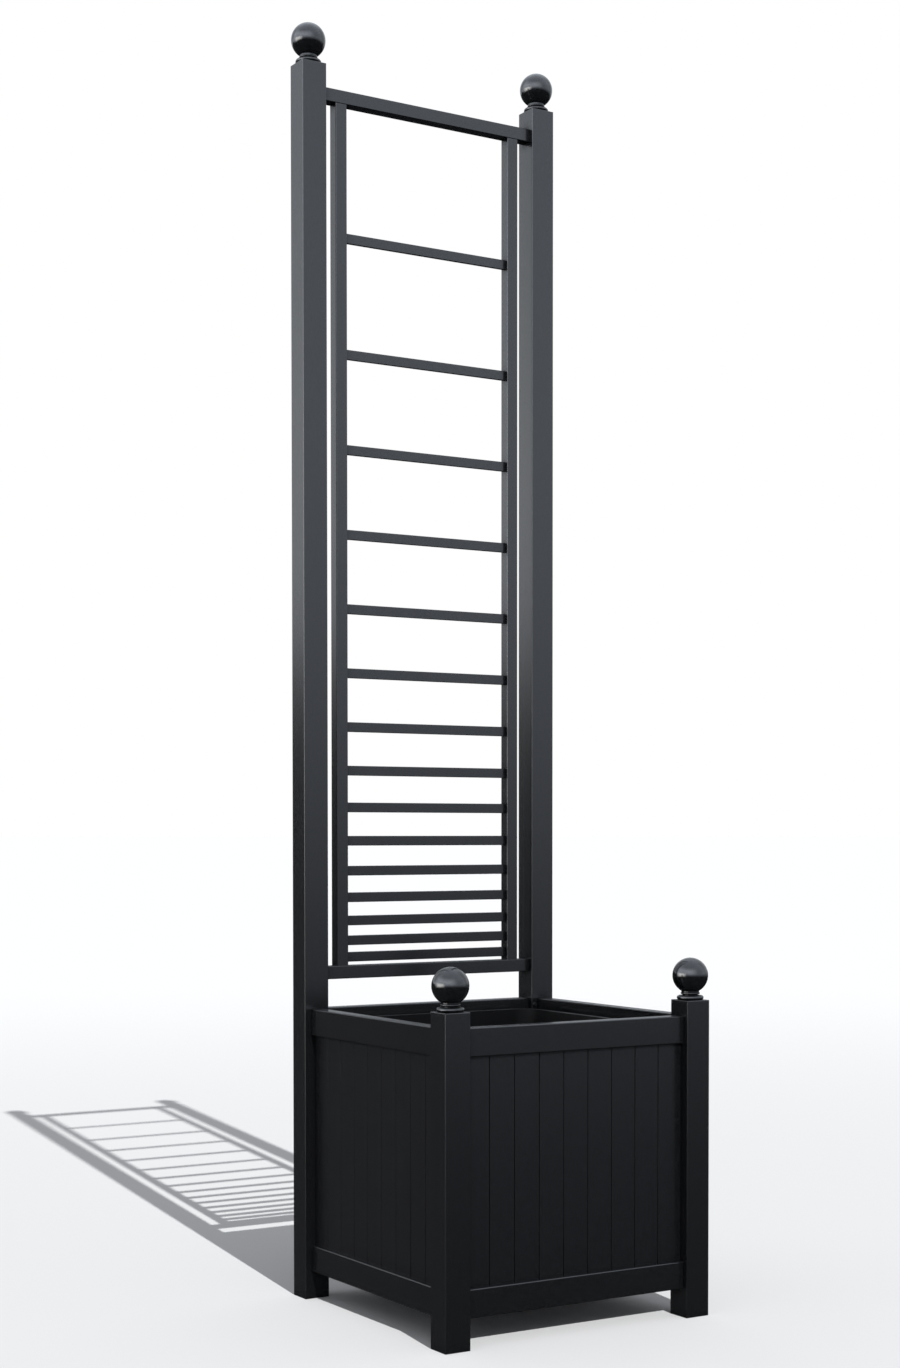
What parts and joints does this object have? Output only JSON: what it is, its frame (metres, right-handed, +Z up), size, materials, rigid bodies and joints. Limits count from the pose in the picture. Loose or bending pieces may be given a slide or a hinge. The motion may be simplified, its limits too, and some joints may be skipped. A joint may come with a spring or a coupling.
{
  "type": "planter box with trellis",
  "caption": "Square panelled metal planter box with a ladder trellis between its tall back posts, ball finials on the posts and a lift-out liner",
  "frame": {"origin": "on the floor at the middle of the plan", "axes": "+X to the right seen from the front, +Y to the back where the trellis stands, +Z up"},
  "size_m": [0.462, 0.462, 1.9215],
  "materials": {
    "powder_coat": "smooth near-black powder coat, semi-gloss, with a fine orange-peel grain",
    "board_coat": "near-black powder coat, satin, on hollow tongued boards",
    "finial_coat": "glossy near-black coat",
    "liner_plastic": "fine-grained moulded plastic",
    "mill_aluminium": "mill finish extrusion",
    "stainless_steel": "stainless screws and studs",
    "black_steel": "black-plated screws",
    "black_plastic": "moulded foot plugs"
  },
  "bodies": {
    "planter": {"post_front_left": "powder_coat", "post_cap_front_left": "powder_coat", "finial_front_left": "finial_coat", "post_front_right": "powder_coat", "post_cap_front_right": "powder_coat", "finial_front_right": "finial_coat", "post_back_left": "powder_coat", "post_cap_back_left": "powder_coat", "finial_back_left": "finial_coat", "post_back_right": "powder_coat", "post_cap_back_right": "powder_coat", "finial_back_right": "finial_coat", "top_rail_front": "powder_coat", "bottom_rail_front": "powder_coat", "boards_front": "board_coat", "top_rail_back": "powder_coat", "bottom_rail_back": "powder_coat", "boards_back": "board_coat", "top_rail_left": "powder_coat", "bottom_rail_left": "powder_coat", "boards_left": "board_coat", "top_rail_right": "powder_coat", "bottom_rail_right": "powder_coat", "boards_right": "board_coat", "finial_studs": "stainless_steel", "foot_plugs": "black_plastic", "rail_lock_screws": "black_steel", "trellis_top_rail": "powder_coat", "trellis_bottom_rail": "powder_coat", "trellis_upright_left": "powder_coat", "trellis_upright_right": "powder_coat", "trellis_rung_1": "powder_coat", "trellis_rung_2": "powder_coat", "trellis_rung_3": "powder_coat", "trellis_rung_4": "powder_coat", "trellis_rung_5": "powder_coat", "trellis_rung_6": "powder_coat", "trellis_rung_7": "powder_coat", "trellis_rung_8": "powder_coat", "trellis_rung_9": "powder_coat", "trellis_rung_10": "powder_coat", "trellis_rung_11": "powder_coat", "trellis_rung_12": "powder_coat", "trellis_rung_13": "powder_coat", "trellis_rung_14": "powder_coat", "trellis_rung_15": "powder_coat", "upright_end_plugs": "mill_aluminium", "upright_screws": "stainless_steel", "trellis_lock_screws": "stainless_steel", "base_ledger_front": "mill_aluminium", "base_ledger_back": "mill_aluminium", "base_slat_1": "mill_aluminium", "base_slat_2": "mill_aluminium", "base_slat_3": "mill_aluminium", "base_slat_4": "mill_aluminium", "ledger_screws": "stainless_steel", "slat_screws": "stainless_steel"},
    "liner": {"liner": "liner_plastic"}
  },
  "joints": [
    {"name": "liner_lift", "type": "slide", "parent": "planter", "child": "liner", "axis": [0, 0, 1], "range_m": [0, 0.48]}
  ]
}
